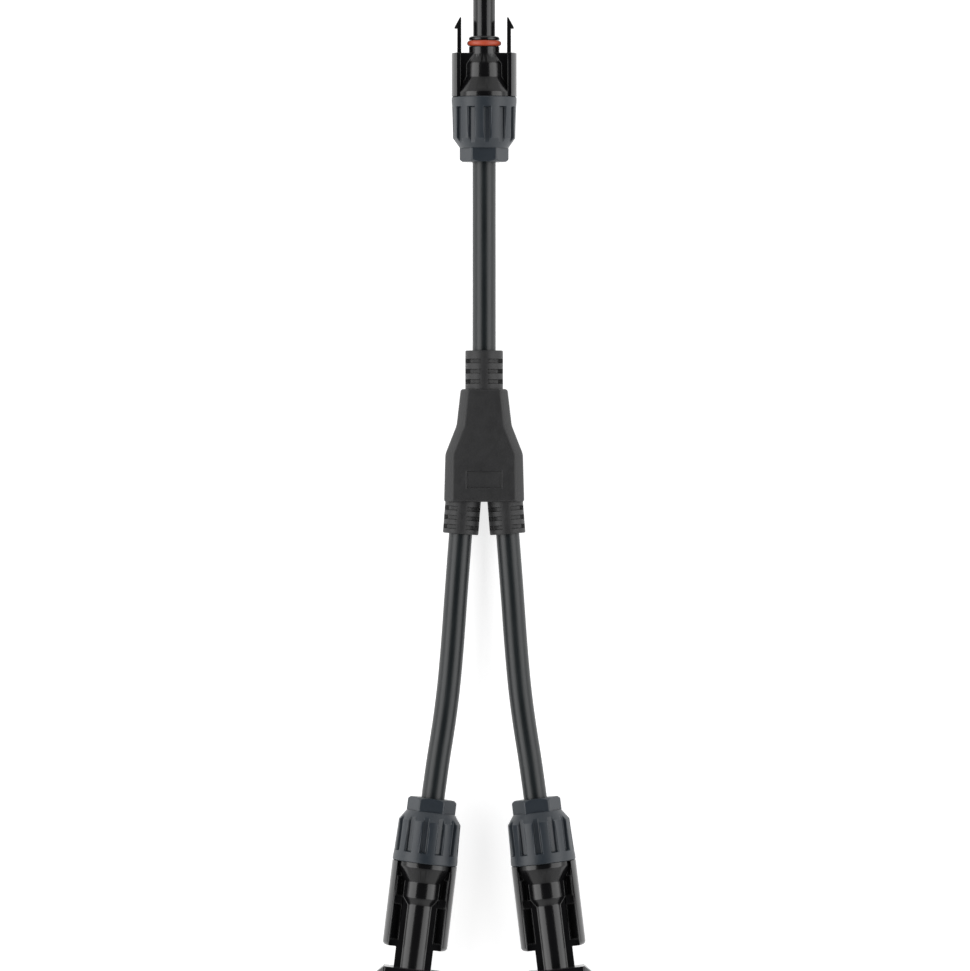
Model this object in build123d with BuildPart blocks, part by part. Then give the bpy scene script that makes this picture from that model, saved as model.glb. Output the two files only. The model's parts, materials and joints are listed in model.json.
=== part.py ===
from build123d import *
import math
import os

os.makedirs("parts", exist_ok=True)

# A solar branch cable: one trunk cable with a socket coupler, a moulded Y splitter and two
# branch cables with plug couplers. It lies flat on Z = 0, with +Y towards the socket coupler.
# Lengths are in millimetres. In a coupler, s runs along its axis from the rear face of its
# gland nut (s = 0) towards the mating end, and x and z are measured from that axis.

# ---- Cable: a single-core 6 mm2 solar cable ----
cable_d = 6.8
insulation_d = 4.7
conductor_d = 2.9

# The trunk's points run up from the splitter, the branch's down from it on the +X side.
# The last run of each route is the axis of the coupler at its end.
trunk_route = [(0, 28.3, 6), (0, 52.2, 6), (0, 85.2, 9.5), (0, 117.66, 9.5)]
branch_route = [
    (5.8, 1.8, 6),
    (7.85, -24.1, 6),
    (9.5, -48.1, 7.4),
    (11.15, -64.1, 9),
    (14.45, -84.1, 9.5),
    (17.58, -110.2, 9.5),
]
arc_share = 0.45  # part of the shorter run that an arc takes up on each side of its point

insulation_bared = 2.0  # insulation beyond the sheath, in a coupler
conductor_bared = 8.0  # conductor beyond the sheath, in a coupler
trunk_insulation_in = 6.0  # the same two, at the trunk's end in the splitter
trunk_conductor_in = 14.8
branch_insulation_in = 3.0  # and at a branch's end in the splitter
branch_conductor_in = 9.4

# ---- Clearances ----
joint_gap = 0.3  # between curved faces of bodies that move past each other
bore_gap = 0.35  # nut bore round the cable
hinge_gap = 0.05  # latch knuckle in its socket
slide_gap = 0.05  # contact in its chamber
face_gap = 0.1  # nut face to housing collar
entry_gap = 0.25  # housing bore round the cable
thread_gap = 0.2  # crest to root, on both threads

# ---- Gland nut; positions along a coupler are given from the nut's front face ----
nut_length = 19.0
groove_floor_wall = 0.8  # from the thread bore to the floors of the grooves
groove_depth = 0.86
nut_band_rise = 0.29  # the front band stands out from the barrel, the front edge from the band
nut_front_rise = 0.15
hex_wall = 1.95
hex_step = 0.2  # from the hexagon's corners in to the foot of the cone
hex_corner_cut = 0.85
hex_length = 4.0
hex_chamfer = 1.2
nut_cone_end = 6.9
nut_band_start = nut_length - 2.9
nut_edge = 0.5
groove_count = 12
groove_start = 5.5
groove_width = 2.5
groove_floor_width = 1.6
groove_phase = 6.0  # degrees from the upright line
nut_wall = 3.0  # rear wall that carries the cable bore
nut_cone_in_end = nut_length - 12

# ---- Screw thread between nut and housing ----
thread_pitch = 2.0
thread_height = 0.6
thread_root_width = 0.9
thread_crest_width = 0.45
thread_bite = 0.15  # how far a ridge is rooted in its wall
thread_start = nut_length - 9.6
thread_end = nut_length - 1.4
thread_phase = 40.0  # degrees; where the ridges start round the axis

# ---- Housing, both kinds ----
tube_wall = 0.85
collar_step = 0.8
neck_step = 0.4
tube_start = nut_length - 11
seal_bore_end = nut_length - 2
cable_bore_end = nut_length + 2.5
chamber_r = 3.4
chamber_end = nut_length + 13.5
collar_end = nut_length + 1.35
neck_start = nut_length + 5.8
shell_start = nut_length + face_gap  # also where the collar starts
shell_half_depth = 5.2
web_half_depth = 3.6

# ---- Socket coupler housing ----
socket_wing = 2.5
socket_neck_end = nut_length + 9.5
socket_top = nut_length + 12.8
boss_r = 4.5
boss_end = nut_length + 17.65
boss_edge = 0.4
probe_r = 3.25
probe_tip = nut_length + 31.5
probe_edge = 0.4
probe_lip = 1.0
probe_mouth_r = 2.3

# ---- O-ring on the boss ----
ring_s = nut_length + 15.64
ring_section_r = 0.825
ring_proud = 0.5
ring_groove_width = 1.9

# ---- Latch fingers of the socket coupler ----
knuckle_inset = 2.2
latch_inner_part = 0.62  # a finger's thickness on each side of its knuckle's centre
latch_outer_part = 0.55
barb_depth = 0.81
knuckle_s = nut_length + 11.6
knuckle_r = 0.9
latch_half_width = 2.9
latch_tip_s = nut_length + 23.2
barb_back_s = nut_length + 19.9
barb_land = 0.4
latch_side_gap = 0.15
latch_swing_gap = 0.33  # room on the inner side for the inward swing

# ---- Plug coupler housing ----
plug_wing = 1.8
upper_pocket_wing = 2.16
barrel_front_wall = 0.2  # round the mouth
plug_waist_rib = 0.48
pocket_side = 0.1
plug_neck_end = nut_length + 10.2
barrel_front_start = nut_length + 12.4
pocket_floor = 2.2
upper_pocket_start = nut_length + 4.4
upper_pocket_end = nut_length + 10.2
lower_pocket_start = nut_length + 12.6
lower_pocket_end = nut_length + 23
rail_end = nut_length + 25
rail_corner_r = 1.2
flange_start = nut_length + 31.06
flange_end = nut_length + 38
flange_half_depth = 7.0
flange_chamfer = 2.2
flange_rise = 1.0
window_gap = 0.1
window_width = 2.35
mouth_gap = 0.3  # round the boss of the mating housing
slot_half_depth = 3.6
mouth_start = nut_length + 32.9
plug_bore_start = nut_length + 19
plug_bore_gap = 0.15  # round the mating probe

# ---- Contacts ----
barrel_start = nut_length + 4.3
barrel_r = 2.3
barrel_bottom_gap = 0.3
contact_collar_r = 3.3
contact_collar_length = 1.2
pin_guide_r = 2.3  # stretch of the pin in its guide bore
pin_r = 2.0  # and ahead of it, where the pin meets its mate
pin_tip = nut_length + 32.5
pin_nose = 0.6
pin_guide_gap = 0.1
socket_nose_r = 2.65
socket_nose_end = nut_length + 30.4
socket_bore_r = 2.1
socket_bore_bottom = nut_length + 16
spring_start = nut_length + 21
spring_end = nut_length + 28
spring_inner_r = 2.12
spring_outer_r = 2.35
spring_slit_count = 10
spring_slit_width = 0.5
spring_band = 0.9  # unslit band at each end of the spring
clip_length = 1.5
clip_gap_width = 2.0

# ---- Cable seal and clamp ring ----
clamp_band_wall = 1.3
claw_flare = 0.4
claw_tuck = 0.1
claw_gap = 0.35
seal_start = nut_length - 8.4
seal_ridge_depth = 0.4
seal_ridge_count = 3
seal_ridge_width = 1.0
clamp_start = 3.4
clamp_band_end = 5.4
claw_peak_s = nut_length - 10
claw_tip_s = nut_length - 8.8
claw_count = 12
claw_slit_width = 0.7

# ---- Y splitter ----
splitter_top = 30.3  # Y of the trunk end of its body
splitter_height = 12.0
splitter_bevel_z = 3.0
# outline from the trunk end down: distance from that end, half-width, half-width of the flat
splitter_outline = [
    (0, 6.85, 4.9),
    (10.6, 8.06, 5.95),
    (19, 11.36, 9.25),
    (33, 11.73, 9.4),
]
panel_width = 10.1
panel_height = 4.9
panel_from_top = 26.4
panel_depth = 0.4
trunk_boot_length = 11.3
trunk_boot_tip = 2.5  # solid stretch at a boot's end
trunk_boot_slot_pitch = 3.0
trunk_boot_spine = 2.5
branch_boot_length = 9.4
branch_boot_tip = 1.4
branch_boot_slot_pitch = 2.7
branch_boot_spine = 2.9
trunk_boot_wall = 2.1
branch_boot_wall = 1.8
boot_slot_count = 3
boot_slot_width = 1.2
boot_wall = 0.8  # left round the cable at the bottom of a slot
boot_root = 2.0  # how far a boot is rooted in the splitter's body
core_half_height = 4.0
core_outline = [(1.0, 4.8), (9.0, 4.8), (20.0, 9.6), (30.5, 10.0)]
splice_half_height = 2.3
splice_outline = [(11.5, 3.0), (18.8, 7.8), (23.5, 7.8)]

# ---- Sizes that follow the cable outwards: clamp ring, seal, tube, thread, nut, shell ----
nut_bore_r = cable_d / 2 + bore_gap
clamp_bore_r = cable_d / 2 + joint_gap
cable_bore_r = cable_d / 2 + entry_gap
clamp_band_r = clamp_bore_r + clamp_band_wall
claw_peak_r = clamp_band_r + claw_flare
claw_tip_r = clamp_band_r - claw_tuck
seal_bore_r = claw_peak_r + claw_gap
tube_r = seal_bore_r + tube_wall
male_crest_r = tube_r + thread_height
nut_thread_bore_r = male_crest_r + thread_gap
groove_floor_r = nut_thread_bore_r + groove_floor_wall
nut_barrel_r = groove_floor_r + groove_depth
nut_band_r = nut_barrel_r + nut_band_rise
nut_front_r = nut_band_r + nut_front_rise
nut_cone_in_r = clamp_band_r + joint_gap
hex_corner_r = nut_cone_in_r + hex_wall
nut_cone_r = hex_corner_r - hex_step
hex_face_r = hex_corner_r - hex_corner_cut
shell_r = nut_front_r
collar_r = shell_r - collar_step
neck_r = tube_r - neck_step
socket_channel_half_width = shell_r - socket_wing
plug_channel_half_width = shell_r - plug_wing
upper_pocket_outer_x = shell_r - upper_pocket_wing
lower_pocket_outer_x = plug_channel_half_width
trunk_boot_d = cable_d + 2 * trunk_boot_wall
branch_boot_d = cable_d + 2 * branch_boot_wall

# ---- Sizes that mate: O-ring on boss, mouth round boss, windows round latch fingers ----
ring_outer_r = boss_r + ring_proud
ring_centre_r = ring_outer_r - ring_section_r
ring_groove_r = ring_centre_r - ring_section_r
mouth_r = boss_r + mouth_gap
barrel_front_r = mouth_r + barrel_front_wall
plug_waist_half_width = barrel_front_r + plug_waist_rib
pocket_inner_x = barrel_front_r + pocket_side
knuckle_x = shell_r - knuckle_inset
latch_inner_x = knuckle_x - latch_inner_part
latch_outer_x = knuckle_x + latch_outer_part
barb_x = latch_outer_x + barb_depth
slot_outer_x = latch_outer_x + window_gap
slot_inner_x = slot_outer_x - window_width
flange_half_width = shell_r + flange_rise
flange_back_half_width = flange_half_width - flange_chamfer

sheath_in_coupler = nut_length + 2.0  # s at which the sheath is cut back
clip_end = chamber_end - contact_collar_length
conductor_end = sheath_in_coupler + conductor_bared
axis_height = splitter_height / 2



def route_radii(points):
    """Radius of the arc at each inner point of a route."""
    vectors = [Vector(*point) for point in points]
    runs = [after - before for before, after in zip(vectors, vectors[1:])]
    radii = []
    for run, next_run in zip(runs, runs[1:]):
        half_turn = math.radians(run.get_angle(next_run) / 2)
        shorter = min(run.length, next_run.length)
        radii.append(arc_share * shorter / math.tan(half_turn))
    return radii


def stretched(points, start_extra, end_extra):
    """The route with its first and last runs made longer, in line."""
    vectors = [Vector(*point) for point in points]
    start = vectors[0] + (vectors[0] - vectors[1]).normalized() * start_extra
    end = vectors[-1] + (vectors[-1] - vectors[-2]).normalized() * end_extra
    return [start] + vectors[1:-1] + [end]


def mirrored(points):
    """A route on the other side of the YZ plane."""
    return [(-x, y, z) for x, y, z in points]


def seat_on(points):
    """Coupler frame on the last run of a route: X sideways, Y along its axis, Z up."""
    end = Vector(*points[-1])
    axis = (end - Vector(*points[-2])).normalized()
    return Plane(
        origin=end - axis * sheath_in_coupler,
        x_dir=axis.cross(Vector(0, 0, 1)),
        z_dir=(0, 0, 1),
    )


def axis_of(seat):
    return Axis(seat.origin, seat.y_dir)


def across(seat, s):
    """Plane square to a coupler's axis at s."""
    return Plane(origin=seat.origin + seat.y_dir * s, x_dir=seat.x_dir, z_dir=seat.y_dir)


def turned(seat, outline, mode=Mode.ADD):
    """Turn a closed outline of (radius, s) points about the axis, in the open part."""
    with BuildSketch(seat) as profile:
        with BuildLine():
            Polyline(*outline, close=True)
        make_face()
    revolve(profile.sketch, axis=axis_of(seat), mode=mode)


def bored(seat, radius, start, end):
    """Bore the open part round the axis from start to end."""
    turned(seat, [(0, start), (radius, start), (radius, end), (0, end)], Mode.SUBTRACT)


def thread_ridge(root_r, direction, start, end):
    """Helical ridge round the Z axis; direction +1 stands outwards, -1 inwards."""
    with BuildLine() as line:
        Helix(pitch=thread_pitch, height=end - start, radius=root_r, center=(0, 0, start))
    spiral = line.edge()
    foot = spiral @ 0
    outwards = Vector(foot.X, foot.Y, 0) * direction
    with BuildPart() as ridge:
        with BuildSketch(Plane(origin=foot, x_dir=outwards, z_dir=spiral % 0)) as tooth:
            Polygon(
                (-thread_bite, -thread_root_width / 2),
                (0, -thread_root_width / 2),
                (thread_height, -thread_crest_width / 2),
                (thread_height, thread_crest_width / 2),
                (0, thread_root_width / 2),
                (-thread_bite, thread_root_width / 2),
                align=None,
            )
        sweep(path=spiral, is_frenet=True)
    return ridge.part


def threaded(seat, root_r, direction, start, end):
    """Add a thread ridge to the open part, its start well away from other seams."""
    ridge = thread_ridge(root_r, direction, start, end)
    start_side = seat.x_dir.rotate(axis_of(seat), thread_phase)
    with Locations(Plane(origin=seat.origin, x_dir=start_side, z_dir=seat.y_dir)):
        add(ridge)


def gland_nut(seat):
    """Ribbed nut that screws on the housing's tube and presses the clamp ring."""
    with BuildPart() as nut:
        with BuildSketch(across(seat, 0)):
            RegularPolygon(hex_corner_r, 6)
        extrude(amount=hex_length + nut_edge)
        hex_outside_r = hex_corner_r + nut_edge
        turned(
            seat,
            [(hex_face_r, 0), (hex_outside_r, 0), (hex_outside_r, hex_chamfer)],
            Mode.SUBTRACT,
        )
        turned(
            seat,
            [
                (0, hex_length),
                (nut_cone_r, hex_length),
                (nut_barrel_r, nut_cone_end),
                (nut_band_r, nut_band_start),
                (nut_front_r, nut_length - nut_edge),
                (nut_front_r, nut_length),
                (0, nut_length),
            ],
        )
        with BuildSketch(across(seat, groove_start)):
            with PolarLocations(groove_floor_r, groove_count, start_angle=90 + groove_phase):
                Polygon(
                    (0, -groove_floor_width / 2),
                    (nut_front_r - groove_floor_r, -groove_width / 2),
                    (nut_front_r - groove_floor_r, groove_width / 2),
                    (0, groove_floor_width / 2),
                    align=None,
                )
        extrude(amount=nut_band_start - groove_start, mode=Mode.SUBTRACT)
        turned(
            seat,
            [
                (0, 0),
                (nut_bore_r + nut_edge, 0),
                (nut_bore_r, nut_edge),
                (nut_bore_r, nut_wall),
                (nut_cone_in_r, nut_wall),
                (nut_cone_in_r + nut_edge, nut_cone_in_end),
                (nut_thread_bore_r, nut_cone_in_end),
                (nut_thread_bore_r, nut_length),
                (0, nut_length),
            ],
            Mode.SUBTRACT,
        )
        threaded(
            seat,
            nut_thread_bore_r,
            -1,
            thread_start + thread_pitch / 2,
            thread_end - thread_pitch / 2,
        )
    return nut.part


def clamp_ring(seat):
    """Ring with claws that the nut squeezes onto the cable."""
    with BuildPart() as ring:
        turned(
            seat,
            [
                (clamp_bore_r, clamp_start),
                (clamp_band_r, clamp_start),
                (clamp_band_r, clamp_band_end),
                (claw_peak_r, claw_peak_s),
                (claw_tip_r, claw_tip_s),
                (clamp_bore_r, claw_tip_s),
            ],
        )
        with BuildSketch(across(seat, clamp_band_end)):
            with PolarLocations((clamp_bore_r + claw_peak_r) / 2, claw_count):
                Rectangle(claw_peak_r, claw_slit_width)
        extrude(amount=claw_tip_s - clamp_band_end, mode=Mode.SUBTRACT)
    return ring.part


def cable_seal(seat):
    """Rubber sleeve between the cable and the housing's bore, ridged outside."""
    with BuildPart() as seal:
        turned(
            seat,
            [
                (cable_d / 2, seal_start),
                (seal_bore_r, seal_start),
                (seal_bore_r, seal_bore_end),
                (cable_d / 2, seal_bore_end),
            ],
        )
        space = (seal_bore_end - seal_start - seal_ridge_width) / seal_ridge_count
        for number in range(seal_ridge_count):
            valley = seal_start + seal_ridge_width + number * space
            turned(
                seat,
                [
                    (seal_bore_r - seal_ridge_depth, valley),
                    (seal_bore_r, valley),
                    (seal_bore_r, valley + space - seal_ridge_width),
                    (seal_bore_r - seal_ridge_depth, valley + space - seal_ridge_width),
                ],
                Mode.SUBTRACT,
            )
    return seal.part


def retainer_clip(seat):
    """Open spring ring behind the contact's collar."""
    with BuildPart() as clip:
        with BuildSketch(across(seat, clip_end - clip_length)):
            Circle(chamber_r - slide_gap)
            Circle(barrel_r, mode=Mode.SUBTRACT)
            with Locations((0, chamber_r)):
                Rectangle(clip_gap_width, 2 * chamber_r, mode=Mode.SUBTRACT)
        extrude(amount=clip_length)
    return clip.part


def crimp_barrel_outline(nose):
    """Outline of a contact whose nose, ahead of its collar, is the given list of points."""
    return [
        (conductor_d / 2, barrel_start),
        (barrel_r, barrel_start),
        (barrel_r, clip_end),
        (contact_collar_r, clip_end),
        (contact_collar_r, chamber_end),
        *nose,
        (0, conductor_end + barrel_bottom_gap),
        (conductor_d / 2, conductor_end + barrel_bottom_gap),
    ]


def pin_contact(seat):
    """Solid pin with a crimp barrel on the conductor."""
    with BuildPart() as pin:
        nose = [
            (pin_guide_r, chamber_end),
            (pin_guide_r, plug_bore_start),
            (pin_r, plug_bore_start),
            (pin_r, pin_tip - pin_nose),
            (pin_r - pin_nose, pin_tip),
            (0, pin_tip),
        ]
        turned(seat, crimp_barrel_outline(nose))
    return pin.part


def socket_contact(seat):
    """Socket with a crimp barrel and a groove for its spring."""
    with BuildPart() as socket:
        nose = [
            (socket_nose_r, chamber_end),
            (socket_nose_r, socket_nose_end),
            (socket_bore_r, socket_nose_end),
            (socket_bore_r, spring_end),
            (spring_outer_r, spring_end),
            (spring_outer_r, spring_start),
            (socket_bore_r, spring_start),
            (socket_bore_r, socket_bore_bottom),
            (0, socket_bore_bottom),
        ]
        turned(seat, crimp_barrel_outline(nose))
    return socket.part


def contact_spring(seat):
    """Slit sleeve that presses on the mating pin."""
    with BuildPart() as spring:
        with BuildSketch(across(seat, spring_start)):
            Circle(spring_outer_r)
            Circle(spring_inner_r, mode=Mode.SUBTRACT)
        extrude(amount=spring_end - spring_start)
        with BuildSketch(across(seat, spring_start + spring_band)):
            with PolarLocations(spring_inner_r, spring_slit_count):
                Rectangle(2 * (spring_outer_r - spring_inner_r) + slide_gap, spring_slit_width)
        extrude(amount=spring_end - spring_start - 2 * spring_band, mode=Mode.SUBTRACT)
    return spring.part


def winged_shell(seat, channel_half_width, end):
    """Round shell with a broad channel sunk in its two flat faces, in the open part."""
    with BuildSketch(across(seat, shell_start)) as section:
        Circle(shell_r)
        Rectangle(2 * shell_r, 2 * shell_half_depth, mode=Mode.INTERSECT)
        with Locations((0, shell_half_depth), (0, -shell_half_depth)):
            Rectangle(
                2 * channel_half_width,
                2 * (shell_half_depth - web_half_depth),
                mode=Mode.SUBTRACT,
            )
    extrude(section.sketch, amount=end - shell_start)


def wing_pockets(seat, inner_x, outer_x, start, end):
    """Sink a pocket in each wing of the open part, from both faces of its web."""
    for face in (1, -1):
        with BuildSketch(seat.offset(face * pocket_floor)) as outline:
            middle = (inner_x + outer_x) / 2
            with Locations((middle, (start + end) / 2), (-middle, (start + end) / 2)):
                Rectangle(outer_x - inner_x, end - start)
        extrude(outline.sketch, amount=face * web_half_depth, mode=Mode.SUBTRACT)


def rear_outline():
    """Outline of a housing from its tube to its neck, as far as both kinds share it."""
    return [
        (0, tube_start),
        (tube_r, tube_start),
        (tube_r, shell_start),
        (collar_r, shell_start),
        (collar_r, collar_end),
        (neck_r, neck_start),
    ]


def rear_bores(seat):
    """Bores of the open part for the seal, the cable and the contact."""
    bored(seat, seal_bore_r, tube_start, seal_bore_end)
    bored(seat, cable_bore_r, seal_bore_end, cable_bore_end)
    bored(seat, chamber_r, cable_bore_end, chamber_end)


def socket_housing(seat):
    """Housing with a probe for the socket contact and sockets for two latch fingers."""
    with BuildPart() as housing:
        winged_shell(seat, socket_channel_half_width, socket_top)
        turned(
            seat,
            [
                *rear_outline(),
                (neck_r, socket_neck_end),
                (boss_r, socket_top),
                (boss_r, ring_s - ring_groove_width / 2),
                (ring_groove_r, ring_s - ring_groove_width / 2),
                (ring_groove_r, ring_s + ring_groove_width / 2),
                (boss_r, ring_s + ring_groove_width / 2),
                (boss_r, boss_end - boss_edge),
                (boss_r - boss_edge, boss_end),
                (probe_r, boss_end),
                (probe_r, probe_tip - probe_edge),
                (probe_r - probe_edge, probe_tip),
                (0, probe_tip),
            ],
        )
        threaded(seat, tube_r, 1, thread_start, thread_end)
        rear_bores(seat)
        bored(seat, socket_nose_r + slide_gap, chamber_end, probe_tip - probe_lip)
        bored(seat, probe_mouth_r, probe_tip - probe_lip, probe_tip)
        slot_start = latch_inner_x - latch_swing_gap
        slot_end = latch_outer_x + latch_side_gap
        slot_half_width = latch_half_width + latch_side_gap
        for side in (1, -1):
            with BuildSketch(seat.offset(-slot_half_width)):
                with Locations((side * knuckle_x, knuckle_s)):
                    Circle(knuckle_r + hinge_gap)
                with Locations((side * (slot_start + slot_end) / 2, socket_top)):
                    Rectangle(slot_end - slot_start, 2 * (socket_top - knuckle_s))
            extrude(amount=2 * slot_half_width, mode=Mode.SUBTRACT)
    return housing.part


def latch_finger(seat, side):
    """Barbed finger with a round knuckle; side is +1 or -1 across the coupler."""
    with BuildPart() as finger:
        with BuildSketch(seat.offset(-latch_half_width)):
            with Locations((side * knuckle_x, knuckle_s)):
                Circle(knuckle_r)
            with BuildLine():
                Polyline(
                    (side * latch_inner_x, knuckle_s),
                    (side * latch_outer_x, knuckle_s),
                    (side * latch_outer_x, barb_back_s),
                    (side * barb_x, barb_back_s),
                    (side * barb_x, barb_back_s + barb_land),
                    (side * (latch_inner_x + barb_land), latch_tip_s),
                    (side * latch_inner_x, latch_tip_s),
                    close=True,
                )
            make_face()
        extrude(amount=2 * latch_half_width)
    return finger.part


def o_ring(seat):
    with BuildPart() as ring:
        with Locations(across(seat, ring_s)):
            Torus(ring_centre_r, ring_section_r)
    return ring.part


def plug_housing(seat):
    """Housing with an open mouth for the mating probe and windows for its latch fingers."""
    with BuildPart() as housing:
        winged_shell(seat, plug_channel_half_width, rail_end)
        corners = housing.edges().group_by(axis_of(seat))[-1].filter_by(GeomType.CIRCLE)
        fillet(corners, rail_corner_r)
        wing_pockets(
            seat, pocket_inner_x, upper_pocket_outer_x, upper_pocket_start, upper_pocket_end
        )
        wing_pockets(
            seat, pocket_inner_x, lower_pocket_outer_x, lower_pocket_start, lower_pocket_end
        )
        with BuildSketch(across(seat, rail_end)):
            Rectangle(2 * plug_waist_half_width, 2 * web_half_depth)
        extrude(amount=flange_start - rail_end)
        turned(
            seat,
            [
                *rear_outline(),
                (neck_r, plug_neck_end),
                (barrel_front_r, barrel_front_start),
                (barrel_front_r, flange_end),
                (0, flange_end),
            ],
        )
        with BuildSketch(across(seat, flange_start)):
            Circle(flange_half_width)
            Rectangle(2 * flange_half_width, 2 * flange_half_depth, mode=Mode.INTERSECT)
        extrude(amount=flange_end - flange_start)
        for side in (1, -1):
            with BuildSketch(seat.offset(-flange_half_depth)):
                with BuildLine():
                    Polyline(
                        (side * flange_back_half_width, flange_start),
                        (side * flange_half_width, flange_start + flange_chamfer),
                        (side * flange_half_width, flange_start),
                        close=True,
                    )
                make_face()
            extrude(amount=2 * flange_half_depth, mode=Mode.SUBTRACT)
            with BuildSketch(across(seat, flange_start)):
                with Locations((side * (slot_inner_x + slot_outer_x) / 2, 0)):
                    Rectangle(slot_outer_x - slot_inner_x, 2 * slot_half_depth)
            extrude(amount=flange_end - flange_start, mode=Mode.SUBTRACT)
        threaded(seat, tube_r, 1, thread_start, thread_end)
        rear_bores(seat)
        bored(seat, pin_guide_r + pin_guide_gap, chamber_end, plug_bore_start)
        bored(seat, probe_r + plug_bore_gap, plug_bore_start, mouth_start)
        bored(seat, mouth_r, mouth_start, flange_end)
    return housing.part


def cable_layer(route, outer_d, inner_d, start_extra, end_extra):
    """One layer of a cable; an inner diameter of zero makes it solid."""
    points = stretched(route, start_extra, end_extra)
    with BuildPart() as layer:
        with BuildLine() as line:
            FilletPolyline(*points, radius=route_radii(route))
        path = line.wire()
        with BuildSketch(Plane(origin=path @ 0, z_dir=path % 0)) as section:
            Circle(outer_d / 2)
            if inner_d > 0:
                Circle(inner_d / 2, mode=Mode.SUBTRACT)
        sweep(section.sketch, path=path)
    return layer.part


def tapered_slab(outline, half_height):
    """Flat block symmetric about X = 0, half_height above and below the cable's height."""
    right = [(half_width, splitter_top - distance) for distance, half_width in outline]
    left = [(-x, y) for x, y in reversed(right)]
    with BuildPart() as slab:
        with BuildSketch(Plane.XY.offset(axis_height - half_height)):
            with BuildLine():
                Polyline(*right, *left, close=True)
            make_face()
        extrude(amount=2 * half_height)
    return slab.part


def splitter_layer(height, widths):
    """Face of the splitter's body at a height, from (distance, half-width) pairs."""
    right = [(half_width, splitter_top - distance) for distance, half_width in widths]
    left = [(-x, y) for x, y in reversed(right)]
    with BuildSketch(Plane.XY.offset(height)) as face:
        with BuildLine():
            Polyline(*right, *left, close=True)
        make_face()
    return face.sketch


def boot(seat, diameter, length, tip, pitch, spine):
    """Strain relief in the open part, its upper and lower slots staggered by half a pitch.

    The seat's Y runs outwards along the cable.
    """
    with BuildSketch(across(seat, -boot_root)) as section:
        Circle(diameter / 2)
    extrude(section.sketch, amount=length + boot_root)
    first_slot = length - tip - boot_slot_width
    for half, stagger in ((1, pitch / 2), (-1, 0)):
        for number in range(boot_slot_count):
            with BuildSketch(across(seat, first_slot - stagger - number * pitch)) as slot:
                Circle(diameter)
                Circle(cable_d / 2 + boot_wall, mode=Mode.SUBTRACT)
                Rectangle(spine, 2 * diameter, mode=Mode.SUBTRACT)
                with Locations((0, -half * diameter)):
                    Rectangle(2 * diameter, 2 * diameter, mode=Mode.SUBTRACT)
            extrude(slot.sketch, amount=boot_slot_width, mode=Mode.SUBTRACT)


def boot_seat(points, distance_y):
    """Frame where a cable leaves the splitter's body at a given Y, Y along the cable."""
    first = Vector(*points[0])
    along = (Vector(*points[1]) - first).normalized()
    start = first + along * ((distance_y - first.Y) / along.Y)
    return Plane(origin=start, x_dir=along.cross(Vector(0, 0, 1)), z_dir=(0, 0, 1))


def cut_cables(layers):
    """Make room in the open part for every cable, as solid rods of the named layers."""
    for route, insulation_in, conductor_in in cables.values():
        rods = {
            "sheath": (cable_d, 0),
            "insulation": (insulation_d, insulation_in),
            "conductor": (conductor_d, conductor_in),
        }
        for layer in layers:
            diameter, start_extra = rods[layer]
            add(cable_layer(route, diameter, 0, start_extra, 0), mode=Mode.SUBTRACT)


branch_routes = {"right": branch_route, "left": mirrored(branch_route)}
trunk_seat = seat_on(trunk_route)
pieces = {}

# ---- Cables ----
print("trunk radii", [round(radius, 1) for radius in route_radii(trunk_route)])
print("branch radii", [round(radius, 1) for radius in route_radii(branch_route)])
cables = {"trunk": (trunk_route, trunk_insulation_in, trunk_conductor_in)}
for hand, route in branch_routes.items():
    cables[hand] = (route, branch_insulation_in, branch_conductor_in)
for name, (route, insulation_in, conductor_in) in cables.items():
    pieces[f"{name}_cable_sheath"] = cable_layer(route, cable_d, insulation_d, 0, 0)
    sheath_area = math.pi * (cable_d**2 - insulation_d**2) / 4
    print(name, "sheath: volume / section", pieces[f"{name}_cable_sheath"].volume / sheath_area)
    pieces[f"{name}_cable_insulation"] = cable_layer(
        route, insulation_d, conductor_d, insulation_in, insulation_bared
    )
    pieces[f"{name}_cable_conductor"] = cable_layer(
        route, conductor_d, 0, conductor_in, conductor_bared
    )

# ---- Socket coupler on the trunk ----
pieces["socket_housing"] = socket_housing(trunk_seat)
pieces["socket_latch_right"] = latch_finger(trunk_seat, 1)
pieces["socket_latch_left"] = latch_finger(trunk_seat, -1)
pieces["socket_o_ring"] = o_ring(trunk_seat)
pieces["socket_contact"] = socket_contact(trunk_seat)
pieces["socket_contact_spring"] = contact_spring(trunk_seat)

# ---- Plug couplers on the branches ----
seats = {"socket": trunk_seat}
for hand, route in branch_routes.items():
    seat = seat_on(route)
    seats[f"plug_{hand}"] = seat
    pieces[f"plug_{hand}_housing"] = plug_housing(seat)
    pieces[f"plug_{hand}_pin"] = pin_contact(seat)

# ---- What every coupler has ----
for name, seat in seats.items():
    pieces[f"{name}_gland_nut"] = gland_nut(seat)
    pieces[f"{name}_clamp_ring"] = clamp_ring(seat)
    pieces[f"{name}_cable_seal"] = cable_seal(seat)
    pieces[f"{name}_retainer_clip"] = retainer_clip(seat)

# ---- Y splitter ----
with BuildPart() as splice_block:
    add(tapered_slab(splice_outline, splice_half_height))
    cut_cables(["conductor"])
pieces["splitter_splice_block"] = splice_block.part

with BuildPart() as splitter_core:
    add(tapered_slab(core_outline, core_half_height))
    add(tapered_slab(splice_outline, splice_half_height), mode=Mode.SUBTRACT)
    cut_cables(["sheath", "insulation", "conductor"])
pieces["splitter_core"] = splitter_core.part

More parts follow.
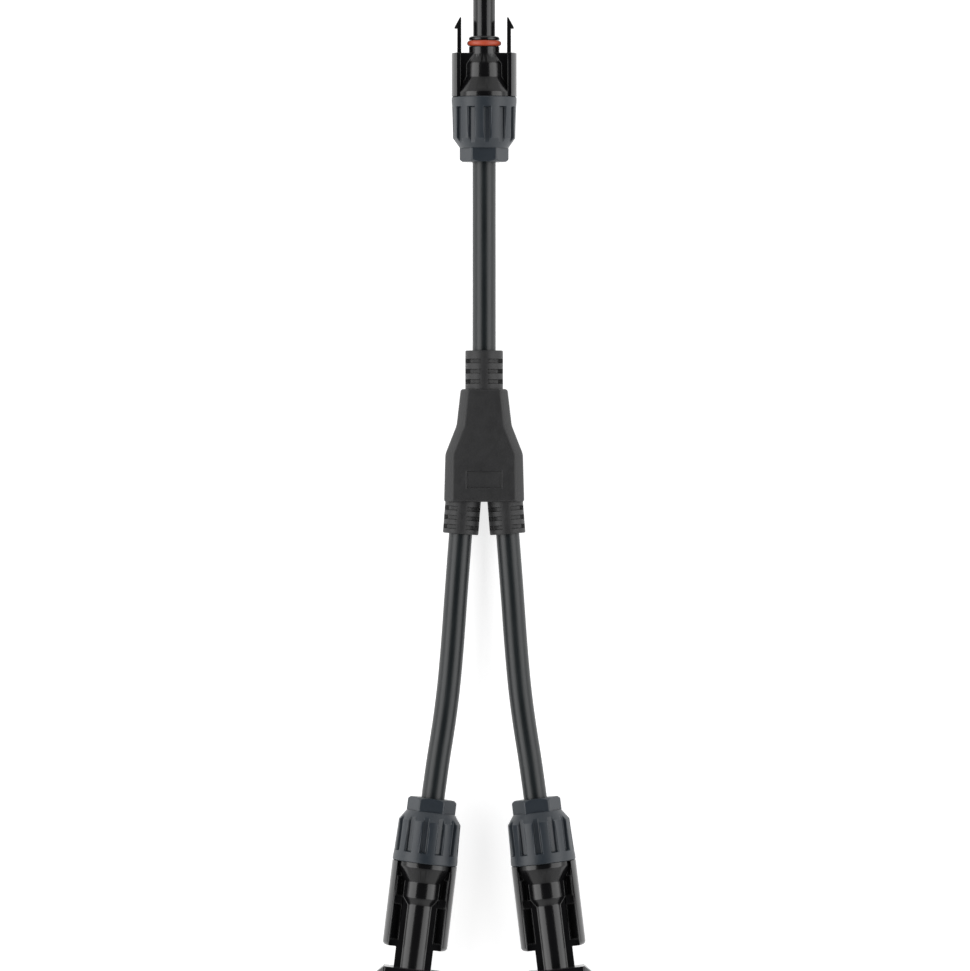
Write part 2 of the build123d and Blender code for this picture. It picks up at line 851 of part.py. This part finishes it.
flat_widths = [(distance, flat) for distance, full, flat in splitter_outline]
full_widths = [(distance, full) for distance, full, flat in splitter_outline]
body_bottom = splitter_top - splitter_outline[-1][0]
with BuildPart() as splitter_overmould:
    loft(
        [
            splitter_layer(0, flat_widths),
            splitter_layer(splitter_bevel_z, full_widths),
            splitter_layer(splitter_height - splitter_bevel_z, full_widths),
            splitter_layer(splitter_height, flat_widths),
        ],
        ruled=True,
    )
    boot(
        boot_seat(trunk_route, splitter_top),
        trunk_boot_d,
        trunk_boot_length,
        trunk_boot_tip,
        trunk_boot_slot_pitch,
        trunk_boot_spine,
    )
    for route in branch_routes.values():
        boot(
            boot_seat(route, body_bottom),
            branch_boot_d,
            branch_boot_length,
            branch_boot_tip,
            branch_boot_slot_pitch,
            branch_boot_spine,
        )
    with BuildSketch(Plane.XY.offset(splitter_height)):
        with Locations((0, splitter_top - panel_from_top)):
            Rectangle(panel_width, panel_height)
    extrude(amount=-panel_depth, mode=Mode.SUBTRACT)
    add(tapered_slab(core_outline, core_half_height), mode=Mode.SUBTRACT)
    cut_cables(["sheath"])
pieces["splitter_overmould"] = splitter_overmould.part

for name, piece in pieces.items():
    piece.label = name
    export_step(piece, f"parts/{name}.step")
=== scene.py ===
import json
import math

import bmesh
import bpy
from mathutils import Matrix, Vector


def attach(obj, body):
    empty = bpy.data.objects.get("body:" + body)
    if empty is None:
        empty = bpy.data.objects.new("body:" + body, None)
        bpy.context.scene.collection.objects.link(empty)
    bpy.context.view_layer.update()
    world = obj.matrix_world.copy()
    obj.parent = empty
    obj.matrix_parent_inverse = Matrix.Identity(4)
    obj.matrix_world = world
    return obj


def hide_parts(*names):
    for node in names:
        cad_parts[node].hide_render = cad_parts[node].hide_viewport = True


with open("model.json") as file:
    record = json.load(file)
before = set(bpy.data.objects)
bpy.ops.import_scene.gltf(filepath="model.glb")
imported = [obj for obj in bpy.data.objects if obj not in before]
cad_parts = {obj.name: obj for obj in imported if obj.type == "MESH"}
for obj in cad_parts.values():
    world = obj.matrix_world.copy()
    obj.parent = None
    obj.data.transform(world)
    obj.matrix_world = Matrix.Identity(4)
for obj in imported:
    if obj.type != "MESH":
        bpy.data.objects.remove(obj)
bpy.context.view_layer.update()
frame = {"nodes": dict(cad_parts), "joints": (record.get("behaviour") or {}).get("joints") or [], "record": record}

MM = 0.001
WHOLE_TURN = 2 * math.pi
JOINTS = {joint["name"]: joint for joint in frame["joints"]}


# ---------------------------------------------------------------- camera and stage


def set_camera():
    """Long lens straight above the lead, its trunk end towards the top."""
    view_height = 0.2838
    aim = Vector((0.00025, 0.0021, 0.0095))
    distance = 3.0
    data = bpy.data.cameras.new("camera")
    data.sensor_fit = "VERTICAL"
    data.sensor_height = 24
    data.lens = data.sensor_height * distance / view_height
    data.clip_end = 10
    camera = bpy.data.objects.new("camera", data)
    camera.location = aim + Vector((0, 0, distance))
    bpy.context.scene.collection.objects.link(camera)
    bpy.context.scene.camera = camera


def softbox(name, place, size, radiance):
    """Large rectangular light aimed at the origin, of a given brightness."""
    data = bpy.data.lights.new(name, "AREA")
    data.shape = "RECTANGLE"
    data.size, data.size_y = size
    data.energy = radiance * math.pi * data.size * data.size_y
    light = bpy.data.objects.new(name, data)
    light.location = place
    light.rotation_euler = (-Vector(place)).to_track_quat("-Z", "Y").to_euler()
    light.visible_camera = False
    bpy.context.scene.collection.objects.link(light)


def set_sky(scene):
    """White round the horizon and dark straight above, so that upward faces stay black."""
    world = bpy.data.worlds.new("studio")
    scene.world = world
    world.use_nodes = True
    tree = world.node_tree
    direction = tree.nodes.new("ShaderNodeTexCoord").outputs["Generated"]
    height = tree.nodes.new("ShaderNodeSeparateXYZ")
    tree.links.new(direction, height.inputs["Vector"])
    ramp = tree.nodes.new("ShaderNodeValToRGB")
    ramp.color_ramp.interpolation = "EASE"
    ramp.color_ramp.elements[0].position = 0.35
    ramp.color_ramp.elements[0].color = (1, 1, 1, 1)
    ramp.color_ramp.elements[1].position = 0.8
    ramp.color_ramp.elements[1].color = (0.012, 0.012, 0.013, 1)
    tree.links.new(height.outputs["Z"], ramp.inputs["Fac"])
    tree.links.new(ramp.outputs["Color"], tree.nodes["Background"].inputs["Color"])
    tree.nodes["Background"].inputs["Strength"].default_value = 0.9


def set_stage():
    """White floor between two softboxes that run along the lead."""
    scene = bpy.context.scene
    scene.view_settings.view_transform = "Standard"
    set_sky(scene)
    mesh = bpy.data.meshes.new("floor")
    bm = bmesh.new()
    bmesh.ops.create_grid(bm, x_segments=1, y_segments=1, size=2.5)
    bm.to_mesh(mesh)
    bm.free()
    floor = bpy.data.objects.new("floor", mesh)
    scene.collection.objects.link(floor)
    paper = bpy.data.materials.new("floor_paper")
    paper.use_nodes = True
    shader = paper.node_tree.nodes["Principled BSDF"]
    shader.inputs["Base Color"].default_value = (0.55, 0.55, 0.55, 1)
    shader.inputs["Roughness"].default_value = 0.9
    shader.inputs["Emission Color"].default_value = (1, 1, 1, 1)
    shader.inputs["Emission Strength"].default_value = 0.78
    mesh.materials.append(paper)
    softbox("left_box", (-1.0, 0, 0.8), (2.2, 1.0), 2.6)
    softbox("right_box", (1.0, 0, 0.8), (2.2, 1.0), 2.2)


# ---------------------------------------------------------------- shader groups


def new_group(name, numbers):
    """Shader group with named number inputs; returns it with its input and output nodes."""
    tree = bpy.data.node_groups.new(name, "ShaderNodeTree")
    for label, value in numbers.items():
        socket = tree.interface.new_socket(label, in_out="INPUT", socket_type="NodeSocketFloat")
        socket.default_value = value
    return tree, tree.nodes.new("NodeGroupInput"), tree.nodes.new("NodeGroupOutput")


def noise(tree, scale, detail, vector):
    node = tree.nodes.new("ShaderNodeTexNoise")
    node.inputs["Detail"].default_value = detail
    tree.links.new(vector, node.inputs["Vector"])
    tree.links.new(scale, node.inputs["Scale"])
    return node.outputs["Fac"]


def moulded_skin_group():
    """Slow and fine unevenness of a moulded skin: a mask of patches and a height of grain."""
    tree, entry, result = new_group("moulded_skin", {"Patch Scale": 60, "Grain Scale": 2500})
    for label in ("Patches", "Grain"):
        tree.interface.new_socket(label, in_out="OUTPUT", socket_type="NodeSocketFloat")
    place = tree.nodes.new("ShaderNodeTexCoord").outputs["Object"]
    patches = noise(tree, entry.outputs["Patch Scale"], 3, place)
    grain = noise(tree, entry.outputs["Grain Scale"], 2, place)
    tree.links.new(patches, result.inputs["Patches"])
    tree.links.new(grain, result.inputs["Grain"])
    return tree


SKIN = moulded_skin_group()


def finish_material(name, dark, light, rough, patch_scale, grain_scale, grain_height):
    """Moulded finish: colour and roughness wander between two values over patches."""
    material = bpy.data.materials.new(name)
    material.use_nodes = True
    tree = material.node_tree
    shader = tree.nodes["Principled BSDF"]
    skin = tree.nodes.new("ShaderNodeGroup")
    skin.node_tree = SKIN
    skin.inputs["Patch Scale"].default_value = patch_scale
    skin.inputs["Grain Scale"].default_value = grain_scale
    colour = tree.nodes.new("ShaderNodeMix")
    colour.data_type = "RGBA"
    colour.inputs["A"].default_value = (*dark, 1)
    colour.inputs["B"].default_value = (*light, 1)
    tree.links.new(skin.outputs["Patches"], colour.inputs["Factor"])
    tree.links.new(colour.outputs["Result"], shader.inputs["Base Color"])
    spread = tree.nodes.new("ShaderNodeMapRange")
    spread.inputs["To Min"].default_value = rough[0]
    spread.inputs["To Max"].default_value = rough[1]
    tree.links.new(skin.outputs["Patches"], spread.inputs["Value"])
    tree.links.new(spread.outputs["Result"], shader.inputs["Roughness"])
    bump = tree.nodes.new("ShaderNodeBump")
    bump.inputs["Strength"].default_value = 1
    bump.inputs["Distance"].default_value = grain_height
    tree.links.new(skin.outputs["Grain"], bump.inputs["Height"])
    tree.links.new(bump.outputs["Normal"], shader.inputs["Normal"])
    return material


def metal_material(name, colour, rough):
    material = finish_material(name, colour, colour, rough, 300, 4000, 0.000002)
    material.node_tree.nodes["Principled BSDF"].inputs["Metallic"].default_value = 1
    return material


# slot: name, darker and lighter colour, least and most roughness, scale of the patches and of the
# grain, and the grain's height in metres
FINISHES = {
    "housing_plastic": (
        "gloss_black",
        (0.003, 0.003, 0.0034),
        (0.0055, 0.0055, 0.006),
        (0.13, 0.24),
        90,
        1500,
        0.000005,
    ),
    "nut_plastic": (
        "slate_satin",
        (0.012, 0.017, 0.023),
        (0.019, 0.025, 0.032),
        (0.34, 0.46),
        120,
        2200,
        0.000012,
    ),
    "clamp_plastic": (
        "black_satin",
        (0.01, 0.01, 0.01),
        (0.016, 0.016, 0.016),
        (0.35, 0.5),
        120,
        2000,
        0.000005,
    ),
    "seal_rubber": (
        "seal_black",
        (0.015, 0.015, 0.015),
        (0.025, 0.025, 0.025),
        (0.6, 0.8),
        100,
        1500,
        0.00001,
    ),
    "o_ring_rubber": (
        "ring_red",
        (0.34, 0.042, 0.016),
        (0.46, 0.07, 0.027),
        (0.32, 0.45),
        200,
        2500,
        0.000006,
    ),
    "cable_sheath": (
        "cable_black",
        (0.003, 0.005, 0.006),
        (0.006, 0.009, 0.0105),
        (0.3, 0.42),
        70,
        1600,
        0.000008,
    ),
    "cable_insulation": (
        "insulation_white",
        (0.7, 0.7, 0.67),
        (0.8, 0.8, 0.77),
        (0.4, 0.5),
        100,
        1500,
        0.000005,
    ),
    "overmould": (
        "charcoal_matt",
        (0.0065, 0.0065, 0.007),
        (0.0135, 0.0135, 0.0145),
        (0.46, 0.6),
        380,
        1700,
        0.00005,
    ),
    "core_plastic": (
        "core_dark",
        (0.03, 0.03, 0.03),
        (0.05, 0.05, 0.05),
        (0.5, 0.6),
        100,
        1500,
        0.00001,
    ),
}
MATERIALS = {slot: finish_material(*finish) for slot, finish in FINISHES.items()}
MATERIALS["tinned_copper"] = metal_material("tin_plate", (0.78, 0.77, 0.74), (0.18, 0.32))
MATERIALS["spring_steel"] = metal_material("spring_steel", (0.6, 0.6, 0.6), (0.22, 0.35))

SLOTS = {part["node"]: part["material_slot"] for part in frame["record"]["subparts"]}
BODIES = frame["record"]["behaviour"]["bodies"]
BODY_OF = {node: body for body, nodes in BODIES.items() for node in nodes}


def dress_cad_nodes():
    """Give every CAD node the finish of its material slot."""
    for name, node in frame["nodes"].items():
        node.data.materials.clear()
        node.data.materials.append(MATERIALS[SLOTS[name]])


def dress(piece, *nodes):
    """Material, body and replaced nodes of a piece that stands for the named nodes."""
    piece.data.materials.clear()
    piece.data.materials.append(MATERIALS[SLOTS[nodes[0]]])
    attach(piece, BODY_OF[nodes[0]])
    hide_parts(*nodes)
    return piece


# ---------------------------------------------------------------- cables

TRUNK_ROUTE = [(0, 28.3, 6), (0, 52.2, 6), (0, 85.2, 9.5), (0, 117.66, 9.5)]
BRANCH_ROUTE = [
    (5.8, 1.8, 6),
    (7.85, -24.1, 6),
    (9.5, -48.1, 7.4),
    (11.15, -64.1, 9),
    (14.45, -84.1, 9.5),
    (17.58, -110.2, 9.5),
]
LEFT_ROUTE = [(-x, y, z) for x, y, z in BRANCH_ROUTE]
CABLE_D = 6.8


def add_cable(name, route, pull=1):
    """Smooth cable along its route; pull draws it towards its last bend."""
    curve = bpy.data.curves.new(f"{name}_cable", "CURVE")
    curve.dimensions = "3D"
    spline = curve.splines.new("NURBS")
    spline.points.add(len(route) - 1)
    for point, (x, y, z) in zip(spline.points, route):
        point.co = (x * MM, y * MM, z * MM, 1)
    spline.points[-2].co.w = pull
    spline.order_u = 3
    spline.use_endpoint_u = True
    spline.resolution_u = 24
    curve.bevel_depth = CABLE_D / 2 * MM
    curve.bevel_resolution = 14
    curve.use_fill_caps = True
    cable = bpy.data.objects.new(f"{name}_cable", curve)
    bpy.context.scene.collection.objects.link(cable)
    dress(cable, f"{name}_cable_sheath")


def add_cables():
    add_cable("trunk", TRUNK_ROUTE, pull=3)
    add_cable("right", BRANCH_ROUTE)
    add_cable("left", LEFT_ROUTE)


# ---------------------------------------------------------------- mesh helpers
# Shapes are drawn in a coupler's own millimetres: X across, Y (called s) along its axis from
# the rear face of its gland nut, Z up. A place matrix then sets them in the frame.

MERGE = 0.001
FLAT = math.radians(0.5)
HOUSING_EDGE = 0.14
LATCH_EDGE = 0.1
OUTSIDE_R = 2.9  # edges nearer to a coupler's axis are inside its bores


def coupler_place(name):
    """From a coupler's own millimetres to the frame."""
    joint = JOINTS[f"{name}_nut_turn"]
    along = -Vector(joint["axis"])
    across = along.cross(Vector((0, 0, 1)))
    place = Matrix((across, along, (0, 0, 1))).transposed().to_4x4()
    place.translation = joint["pos_m"]
    return place @ Matrix.Scale(MM, 4)


def lathe(outline, steps):
    """Closed shell turned about the Y axis from a closed outline of (radius, s) points."""
    bm = bmesh.new()
    verts = [bm.verts.new((radius, s, 0)) for radius, s in outline]
    for pair in zip(verts, verts[1:] + verts[:1]):
        bm.edges.new(pair)
    bmesh.ops.spin(
        bm,
        geom=bm.verts[:] + bm.edges[:],
        cent=(0, 0, 0),
        axis=(0, 1, 0),
        angle=WHOLE_TURN,
        steps=steps,
        use_merge=True,
    )
    bmesh.ops.remove_doubles(bm, verts=bm.verts[:], dist=0.0001)
    bmesh.ops.recalc_face_normals(bm, faces=bm.faces[:])
    return bm


def soften(bm, edges, width, sharper_than=28, segments=2):
    """Round those of some edges that are sharper than an angle in degrees."""
    limit = math.radians(sharper_than)
    chosen = [edge for edge in edges if edge.is_manifold and edge.calc_face_angle(0) > limit]
    bmesh.ops.bevel(
        bm,
        geom=chosen,
        offset=width,
        offset_type="OFFSET",
        affect="EDGES",
        segments=segments,
        profile=0.5,
        material=-1,
        clamp_overlap=False,
    )


def finished(bm, name, place, crease=35):
    """Object at the origin from a bmesh, with smooth shading up to an angle in degrees."""
    bmesh.ops.transform(bm, matrix=place, verts=bm.verts[:])
    mesh = bpy.data.meshes.new(name)
    bm.to_mesh(mesh)
    bm.free()
    mesh.shade_smooth()
    mesh.set_sharp_from_angle(angle=math.radians(crease))
    piece = bpy.data.objects.new(name, mesh)
    bpy.context.scene.collection.objects.link(piece)
    return piece


def softened_node(node, width, place, start):
    """Piece of a CAD node's shape, its sharp edges rounded beyond s = start."""
    bm = bmesh.new()
    bm.from_mesh(frame["nodes"][node].data)
    bmesh.ops.remove_doubles(bm, verts=bm.verts[:], dist=MERGE * MM)
    bmesh.ops.dissolve_limit(bm, angle_limit=FLAT, verts=bm.verts[:], edges=bm.edges[:])
    bmesh.ops.transform(bm, matrix=place.inverted(), verts=bm.verts[:])
    open_part = [
        edge
        for edge in bm.edges
        if all(vert.co.y > start for vert in edge.verts)
        and all(math.hypot(vert.co.x, vert.co.z) > OUTSIDE_R for vert in edge.verts)
        and edge.calc_length() > 2 * width
    ]
    soften(bm, open_part, width)
    return dress(finished(bm, f"{node}_moulding", place), node)


# ---------------------------------------------------------------- gland nuts

NUT_LENGTH = 19.0
NUT_STEPS = 360
HEX_LENGTH = 4.0
HEX_CORNER_R = 7.25
HEX_FLAT_R = HEX_CORNER_R * math.cos(math.pi / 6)
HEX_CORNER_EASE = 0.12
HEX_FACE_R = 6.4
HEX_CHAMFER_SLOPE = 1.1
CONE_R = 7.05
GROOVE_COUNT = 12
GROOVE_TURN = math.radians(6)
GROOVE_FLOOR_R = 8.2
GROOVE_DEPTH = 1.4
GROOVE_FLOOR_HALF = math.radians(4.8)
GROOVE_MOUTH_HALF = math.radians(8.2)
GROOVE_END = 16.1
BORE_R = 3.75
THREAD_PITCH = 2.0
THREAD_PHASE = math.radians(40)
THREAD_STEPS = 48
THREAD_BORE_R = 7.4
THREAD_SPAN = (10.4, 16.6)
TOOTH = [(-0.15, -0.45), (0, -0.45), (0.6, -0.225), (0.6, 0.225), (0, 0.45), (-0.15, 0.45)]


def off_nearest(angle, spacing, turn=0):
    """How far an angle lies from the nearest of evenly spaced directions."""
    return abs((angle - turn + spacing / 2) % spacing - spacing / 2)


def hex_radius(angle, s):
    """Radius of the hexagon with eased corners and a chamfered rear edge."""
    flat = HEX_FLAT_R / math.cos(off_nearest(angle, math.pi / 3))
    return min(flat, HEX_CORNER_R - HEX_CORNER_EASE, HEX_FACE_R + HEX_CHAMFER_SLOPE * s)


def groove_radius(angle):
    """Radius of the surface that the grooves cut, which rises steeply beside their floors."""
    aside = off_nearest(angle, WHOLE_TURN / GROOVE_COUNT, GROOVE_TURN) - GROOVE_FLOOR_HALF
    rise = max(0, aside) / (GROOVE_MOUTH_HALF - GROOVE_FLOOR_HALF)
    return GROOVE_FLOOR_R + rise * GROOVE_DEPTH


def nut_outline():
    """Section of the nut: its outside from the rear to the front, then its inside back."""
    hex_rows = [(HEX_CORNER_R, s) for s in (0.04, 0.2, 0.4, 0.6, 0.8, 2.4, HEX_LENGTH)]
    cone_rows = [(CONE_R + 0.201 * part, HEX_LENGTH + 0.29 * part) for part in range(1, 10)]
    barrel_rows = [(9.04, 6.8), (9.08, 7.1), (9.2, 11.5), (9.34, GROOVE_END - 0.35)]
    return [
        (BORE_R + 0.5, 0),
        (HEX_FLAT_R - 0.2, 0),
        *hex_rows,
        (CONE_R, HEX_LENGTH + 0.04),
        *cone_rows,
        *barrel_rows,
        (9.36, GROOVE_END),
        (9.38, GROOVE_END + 0.3),
        (9.48, 17.4),
        (9.5, 18.5),
        (9.42, 18.83),
        (9.2, NUT_LENGTH),
        (7.75, NUT_LENGTH),
        (THREAD_BORE_R, 18.7),
        (THREAD_BORE_R, 7),
        (5.8, 7),
        (5.3, 3),
        (BORE_R, 3),
        (BORE_R, 0.5),
    ]


def thread_ridge(root_r, out, start, end):
    """Helical ridge of a screw thread, rooted in its wall; out is -1 for an inner thread."""
    turns = (end - start) / THREAD_PITCH
    steps = round(THREAD_STEPS * turns)
    bm = bmesh.new()
    verts = [bm.verts.new((root_r + out * reach, start + s, 0)) for reach, s in TOOTH]
    face = bm.faces.new(verts)
    bmesh.ops.spin(
        bm,
        geom=[*verts, *face.edges, face],
        cent=(0, 0, 0),
        axis=(0, 1, 0),
        dvec=(0, (end - start) / steps, 0),
        angle=WHOLE_TURN * turns,
        steps=steps,
    )
    bmesh.ops.rotate(bm, matrix=Matrix.Rotation(THREAD_PHASE, 3, "Y"), verts=bm.verts[:])
    bmesh.ops.recalc_face_normals(bm, faces=bm.faces[:])
    return bm


def joined(*parts):
    """One bmesh from several."""
    whole = bmesh.new()
    for part in parts:
        scratch = bpy.data.meshes.new("scratch")
        part.to_mesh(scratch)
        part.free()
        whole.from_mesh(scratch)
        bpy.data.meshes.remove(scratch)
    return whole


def add_gland_nut(name):
    """Nut with a hexagon at its rear, twelve grooves and an inner thread."""
    bm = lathe(nut_outline(), NUT_STEPS)
    for vert in bm.verts:
        x, s, z = vert.co
        radius = math.hypot(x, z)
        angle = math.atan2(x, z)
        if radius > HEX_FLAT_R - 0.1 and s <= HEX_LENGTH:
            wanted = hex_radius(angle, s)
        elif radius > CONE_R - 0.01 and HEX_LENGTH < s < GROOVE_END:
            wanted = min(radius, groove_radius(angle))
        else:
            continue
        vert.co = (x * wanted / radius, s, z * wanted / radius)
    whole = joined(bm, thread_ridge(THREAD_BORE_R, -1, *THREAD_SPAN))
    nut = finished(whole, f"{name}_nut_moulding", coupler_place(name), 32)
    dress(nut, f"{name}_gland_nut")


# ---------------------------------------------------------------- O-ring and contacts

RING_SECTION_R = 0.825
RING_CENTRE_R = 4.175
RING_S = 34.64


def add_o_ring():
    """Round seal in the groove of the socket coupler's boss."""
    bm = bmesh.new()
    bmesh.ops.create_circle(bm, segments=28, radius=RING_SECTION_R)
    bmesh.ops.translate(bm, verts=bm.verts[:], vec=(RING_CENTRE_R, RING_S, 0))
    bmesh.ops.spin(
        bm,
        geom=bm.verts[:] + bm.edges[:],
        cent=(0, 0, 0),
        axis=(0, 1, 0),
        angle=WHOLE_TURN,
        steps=120,
        use_merge=True,
    )
    bmesh.ops.remove_doubles(bm, verts=bm.verts[:], dist=0.0001)
    bmesh.ops.recalc_face_normals(bm, faces=bm.faces[:])
    dress(finished(bm, "o_ring", coupler_place("socket"), 80), "socket_o_ring")


def add_contact_pin(name):
    """Pin with a rounded nose, a collar and a crimp barrel."""
    outline = [
        (1.45, 23.3),
        (2.3, 23.3),
        (2.3, 31.3),
        (3.3, 31.3),
        (3.3, 32.5),
        (2.3, 32.5),
        (2.3, 38),
        (2, 38),
        (2, 50.6),
        (1.85, 51.1),
        (1.5, 51.4),
        (0.9, 51.5),
        (0.02, 51.5),
        (0.02, 29.3),
        (1.45, 29.3),
    ]
    pin = finished(lathe(outline, 64), f"{name}_turned_pin", coupler_place(name), 30)
    dress(pin, f"{name}_pin")


# ---------------------------------------------------------------- splitter

BODY_TOP = 30.3
BODY_HEIGHT = 12.0
BODY_BEVEL_Z = 3.0
# distance from the trunk end, half-width of the body, half-width of its flat faces
BODY_OUTLINE = [(0, 6.85, 4.9), (10.6, 8.06, 5.95), (19, 11.36, 9.25), (33, 11.73, 9.4)]
BODY_EDGE = 0.75
PANEL = (10.1, 4.9)
PANEL_DEPTH = 0.4
FRAME_WIDTH = 0.3
FRAME_HEIGHT = 0.08
FRAME_EDGE = 0.04
PANEL_Y = BODY_TOP - 26.4
BOOT_ROOT = 2.0
BOOT_SLOT = 1.2
BOOT_SLOT_COUNT = 3
BOOT_SLOT_WALL = 0.06
BOOT_CORE_R = 4.2
# radius, length, solid tip, pitch of the slots and width of the spine
TRUNK_BOOT = (5.5, 11.3, 2.5, 3.0, 2.5)
BRANCH_BOOT = (5.2, 9.4, 1.4, 2.7, 2.9)
SHEATH_R = 3.4


def body_ring(bm, column, height):
    """Loop of edges round the body at a height; column 1 is its full width, 2 its flat."""
    right = [(row[column], BODY_TOP - row[0]) for row in BODY_OUTLINE]
    corners = right + [(-x, y) for x, y in reversed(right)]
    verts = [bm.verts.new((x, y, height)) for x, y in corners]
    return [bm.edges.new(pair) for pair in zip(verts, verts[1:] + verts[:1])]


def panel_ring(bm, margin, height):
    """Loop of edges of the sunk panel, drawn in by a margin, at a height."""
    x, y = PANEL[0] / 2 - margin, PANEL[1] / 2 - margin
    corners = [(x, y), (-x, y), (-x, -y), (x, -y)]
    verts = [bm.verts.new((a, PANEL_Y + b, height)) for a, b in corners]
    return [bm.edges.new(pair) for pair in zip(verts, verts[1:] + verts[:1])]


def splitter_body():
    """Bevelled body with a blank panel sunk in its top, inside a low frame."""
    bm = bmesh.new()
    rings = [
        body_ring(bm, 2, 0),
        body_ring(bm, 1, BODY_BEVEL_Z),
        body_ring(bm, 1, BODY_HEIGHT - BODY_BEVEL_Z),
        body_ring(bm, 2, BODY_HEIGHT),
    ]
    for low, high in zip(rings, rings[1:]):
        bmesh.ops.bridge_loops(bm, edges=low + high)
    outer = bm.edges[:]
    panel = [
        panel_ring(bm, -FRAME_WIDTH, BODY_HEIGHT),
        panel_ring(bm, -0.2, BODY_HEIGHT + FRAME_HEIGHT),
        panel_ring(bm, 0, BODY_HEIGHT + FRAME_HEIGHT),
        panel_ring(bm, 0.1, BODY_HEIGHT - PANEL_DEPTH),
    ]
    bmesh.ops.bridge_loops(bm, edges=rings[-1] + panel[0])
    for low, high in zip(panel, panel[1:]):
        bmesh.ops.bridge_loops(bm, edges=low + high)
    bmesh.ops.contextual_create(bm, geom=rings[0])
    bmesh.ops.contextual_create(bm, geom=panel[-1])
    bmesh.ops.recalc_face_normals(bm, faces=bm.faces[:])
    soften(bm, outer, BODY_EDGE, sharper_than=12, segments=4)
    reach_x, reach_y = PANEL[0] / 2 + 0.4, PANEL[1] / 2 + 0.45
    inner = [
        edge
        for edge in bm.edges
        if all(abs(v.co.x) < reach_x and abs(v.co.y - PANEL_Y) < reach_y for v in edge.verts)
    ]
    soften(bm, inner, FRAME_EDGE)
    return bm


def boot(radius, length, tip, pitch, spine):
    """Strain relief along Y with staggered slots in its upper and lower halves."""
    first = length - tip - BOOT_SLOT
    slots = []
    for half, stagger in ((1, 0), (-1, pitch / 2)):
        slots += [(half, first - stagger - number * pitch) for number in range(BOOT_SLOT_COUNT)]
    beside = (-BOOT_SLOT_WALL, BOOT_SLOT_WALL)
    rows = [(radius, -BOOT_ROOT), (radius, 0.2)]
    for half, start in sorted(slots, key=lambda slot: slot[1]):
        if start > 0.3:
            rows += [(radius, start + edge + side) for edge in (0, BOOT_SLOT) for side in beside]
    ends = [(radius, length - 0.3), (radius - 0.1, length - 0.09), (radius - 0.3, length)]
    inside = [(SHEATH_R + 0.25, length), (SHEATH_R, length - 0.3), (SHEATH_R, -BOOT_ROOT)]
    bm = lathe(rows + ends + inside, 160)
    for vert in bm.verts:
        x, s, z = vert.co
        reach = math.hypot(x, z)
        if reach < radius - 0.05 or abs(x) < spine / 2:
            continue
        for half, start in slots:
            if half * z > 0.12 and start < s < start + BOOT_SLOT:
                vert.co = (x * BOOT_CORE_R / reach, s, z * BOOT_CORE_R / reach)
    return bm


def boot_place(route, leave_y):
    """Where a cable leaves the body, Y along the cable."""
    first, second = Vector(route[0]), Vector(route[1])
    along = (second - first).normalized()
    start = first + along * ((leave_y - first.y) / along.y)
    across = along.cross(Vector((0, 0, 1)))
    place = Matrix((across, along, (0, 0, 1))).transposed().to_4x4()
    place.translation = start
    return place


def add_overmould():
    """Moulded body of the splitter with its three strain reliefs."""
    body_end = BODY_TOP - BODY_OUTLINE[-1][0]
    parts = [splitter_body()]
    for route, leave_y, sizes in (
        (TRUNK_ROUTE, BODY_TOP, TRUNK_BOOT),
        (BRANCH_ROUTE, body_end, BRANCH_BOOT),
        (LEFT_ROUTE, body_end, BRANCH_BOOT),
    ):
        part = boot(*sizes)
        bmesh.ops.transform(part, matrix=boot_place(route, leave_y), verts=part.verts[:])
        parts.append(part)
    moulding = finished(joined(*parts), "splitter_moulding", Matrix.Scale(MM, 4), 30)
    dress(moulding, "splitter_overmould")


set_camera()
set_stage()
dress_cad_nodes()
add_cables()
add_overmould()
add_o_ring()
for coupler in ("socket", "plug_right", "plug_left"):
    add_gland_nut(coupler)
    softened_node(f"{coupler}_housing", HOUSING_EDGE, coupler_place(coupler), NUT_LENGTH + 0.15)
for hand in ("right", "left"):
    softened_node(f"socket_latch_{hand}", LATCH_EDGE, coupler_place("socket"), NUT_LENGTH)
    add_contact_pin(f"plug_{hand}")
